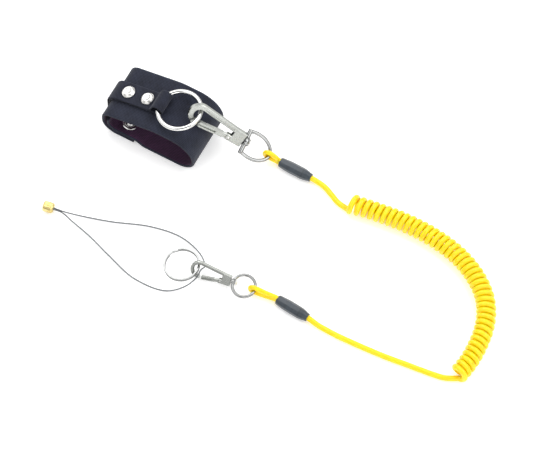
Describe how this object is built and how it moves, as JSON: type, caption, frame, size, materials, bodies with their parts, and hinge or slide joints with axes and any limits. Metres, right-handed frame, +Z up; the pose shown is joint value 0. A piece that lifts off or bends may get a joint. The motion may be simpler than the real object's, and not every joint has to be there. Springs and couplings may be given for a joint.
{
  "type": "coiled tool tether with wrist cuff",
  "caption": "Webbing wrist cuff with a steel ring, linked by a swivel snap hook and a coiled cord to a smaller snap hook that holds a split ring and a tool wire loop.",
  "frame": {"origin": "on the surface the tether lies on, under the middle of the cuff's level underside", "axes": "+X along the cuff towards the upper hook, +Y along the wrist's axis away from the lower hook, +Z up"},
  "size_m": [0.3708, 0.1559, 0.0559],
  "materials": {
    "webbing": "dark navy woven webbing with a fine weave",
    "tab_webbing": "dark narrow webbing, folded double and stitched",
    "plated_steel": "bright nickel-plated steel",
    "cast_zinc": "nickel-plated die casting, satin",
    "steel_wire": "fine stranded steel wire",
    "brass": "turned brass",
    "yellow_cord": "smooth bright yellow polyurethane",
    "sleeve_rubber": "moulded black rubber, semi-gloss"
  },
  "bodies": {
    "cord": {"coil": "yellow_cord", "upper_lead": "yellow_cord", "lower_lead": "yellow_cord", "upper_sleeve": "sleeve_rubber", "lower_sleeve": "sleeve_rubber", "upper_loop": "yellow_cord", "lower_loop": "yellow_cord"},
    "upper_eye": {"upper_swivel_eye": "plated_steel"},
    "upper_hook": {"upper_hook_frame": "cast_zinc", "upper_gate_pin": "plated_steel", "upper_swivel_post": "plated_steel"},
    "upper_gate": {"upper_gate": "cast_zinc"},
    "big_ring": {"big_ring": "plated_steel"},
    "cuff": {"cuff_strap": "webbing", "ring_tab": "tab_webbing", "inner_rivet_cap": "plated_steel", "inner_rivet_post": "plated_steel", "outer_rivet_cap": "plated_steel", "outer_rivet_post": "plated_steel", "snap_cap_front": "plated_steel", "snap_socket_front": "plated_steel", "snap_stud_front": "plated_steel", "snap_cap_rear": "plated_steel", "snap_socket_rear": "plated_steel", "snap_stud_rear": "plated_steel"},
    "lower_eye": {"lower_swivel_eye": "plated_steel"},
    "lower_hook": {"lower_hook_frame": "cast_zinc", "lower_gate_pin": "plated_steel", "lower_swivel_post": "plated_steel"},
    "lower_gate": {"lower_gate": "cast_zinc"},
    "split_ring": {"split_ring": "plated_steel"},
    "tool_loop": {"tool_wire": "steel_wire", "wire_crimp": "brass"}
  },
  "joints": [
    {"name": "upper_loop_pivot", "type": "hinge", "parent": "cord", "child": "upper_eye", "pos_m": [0.08842, 0.01466, 0.00846], "axis": [-0.0345, 0.9685, 0.2467], "range_deg": [0, 50]},
    {"name": "upper_swivel", "type": "hinge", "parent": "upper_eye", "child": "upper_hook", "pos_m": [0.06798, 0.01042, 0.02222], "axis": [0.8174, 0.1694, -0.5506], "continuous": true},
    {"name": "upper_gate_hinge", "type": "hinge", "parent": "upper_hook", "child": "upper_gate", "pos_m": [0.05577, 0.00522, 0.02702], "axis": [-0.4999, 0.6835, -0.5319], "range_deg": [0, 14], "stiffness_Nm_per_rad": 0.02, "springref_deg": -28.65},
    {"name": "ring_in_hook", "type": "hinge", "parent": "upper_hook", "child": "big_ring", "pos_m": [0.03172, 0.00295, 0.04719], "axis": [-0.227, 0.9739, 0], "range_deg": [0, 30]},
    {"name": "ring_flip", "type": "hinge", "parent": "big_ring", "child": "cuff", "pos_m": [-0.00138, -0.001, 0.0432], "axis": [0, 1, 0], "range_deg": [0, 100]},
    {"name": "lower_loop_pivot", "type": "hinge", "parent": "cord", "child": "lower_eye", "pos_m": [0.13546, -0.09448, 0.0057], "axis": [-0.1208, 0.9854, 0.1197], "range_deg": [0, 50]},
    {"name": "lower_swivel", "type": "hinge", "parent": "lower_eye", "child": "lower_hook", "pos_m": [0.11637, -0.09689, 0.00627], "axis": [0.9917, 0.1252, -0.0296], "continuous": true},
    {"name": "lower_gate_hinge", "type": "hinge", "parent": "lower_hook", "child": "lower_gate", "pos_m": [0.10723, -0.10011, 0.00422], "axis": [-0.1135, 0.7429, -0.6597], "range_deg": [0, 14], "stiffness_Nm_per_rad": 0.01, "springref_deg": -28.65},
    {"name": "split_ring_swing", "type": "hinge", "parent": "lower_hook", "child": "split_ring", "pos_m": [0.0877, -0.103, 0.0071], "axis": [0, 1, 0], "range_deg": [0, 30]},
    {"name": "tool_loop_swing", "type": "hinge", "parent": "lower_hook", "child": "tool_loop", "pos_m": [0.09, -0.1002, 0.0073], "axis": [0, 1, 0], "range_deg": [0, 30]}
  ]
}
